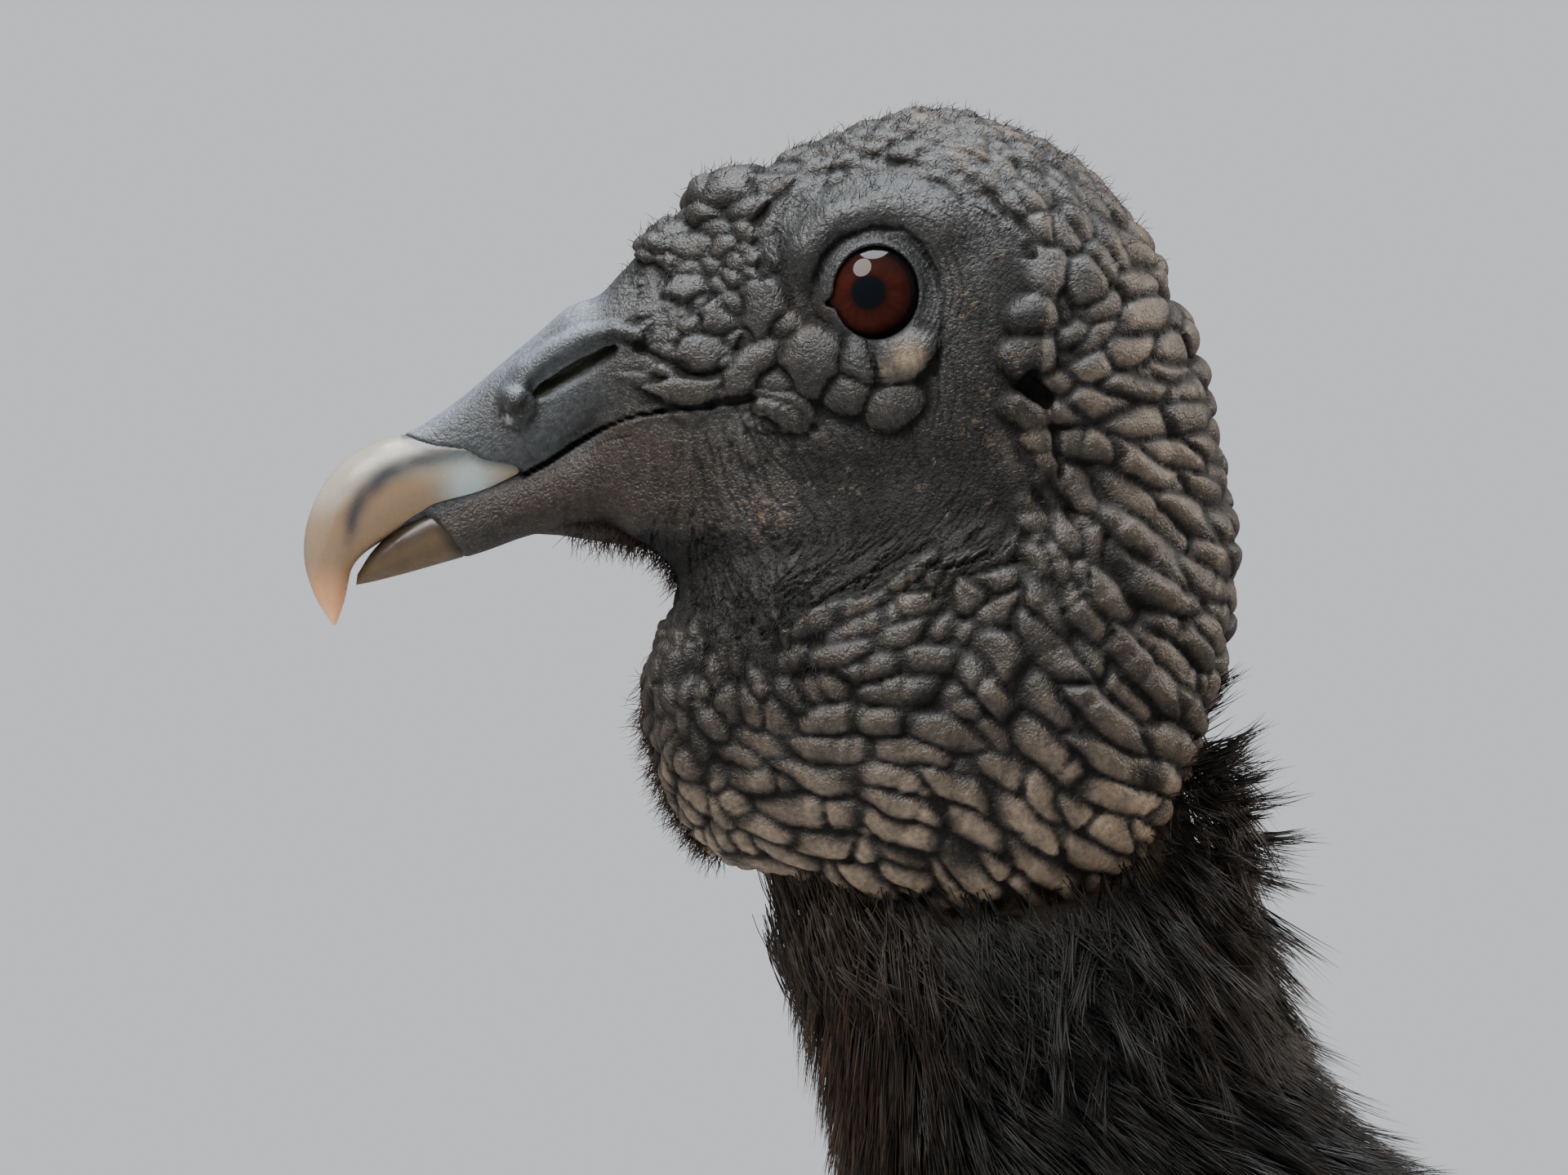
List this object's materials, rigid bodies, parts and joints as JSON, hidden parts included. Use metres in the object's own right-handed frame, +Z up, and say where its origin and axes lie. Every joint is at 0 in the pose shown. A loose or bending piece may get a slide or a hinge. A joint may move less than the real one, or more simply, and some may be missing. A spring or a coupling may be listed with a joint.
{
  "type": "black vulture",
  "caption": "Life-size black vulture standing upright on both feet: bare folded head skin, long hooked bill, black plumage, folded wings, short square tail.",
  "frame": {"origin": "on the floor, under the centre of the bird's bounding box", "axes": "+Z up, the bird faces -Y, its left side is +X"},
  "size_m": [0.1464, 0.4208, 0.4531],
  "materials": {
    "bare_skin": "wrinkled, dull, dusty in the folds",
    "plumage": "soft matt feathers",
    "flight_feathers": "close-webbed feathers with a faint sheen",
    "bill_horn": "worn horn, satin, pale towards the hook",
    "bill_lower_horn": "worn horn, satin",
    "eye": "wet, clear",
    "leg_skin": "small scales, whitened",
    "claw_horn": "satin"
  },
  "bodies": {
    "root": {"bill_lower": "bill_lower_horn", "bill_upper": "bill_horn", "claw_hind_left": "claw_horn", "claw_hind_right": "claw_horn", "claw_inner_left": "claw_horn", "claw_inner_right": "claw_horn", "claw_middle_left": "claw_horn", "claw_middle_right": "claw_horn", "claw_outer_left": "claw_horn", "claw_outer_right": "claw_horn", "eye_left": "eye", "eye_right": "eye", "foot_left": "leg_skin", "foot_right": "leg_skin", "head": "bare_skin", "neck_bare": "bare_skin", "neck_feathered": "plumage", "primaries_left": "flight_feathers", "primaries_right": "flight_feathers", "shank_left": "leg_skin", "shank_right": "leg_skin", "tail": "flight_feathers", "thigh_left": "plumage", "thigh_right": "plumage", "trunk": "plumage", "wing_left": "flight_feathers", "wing_right": "flight_feathers"}
  },
  "joints": []
}
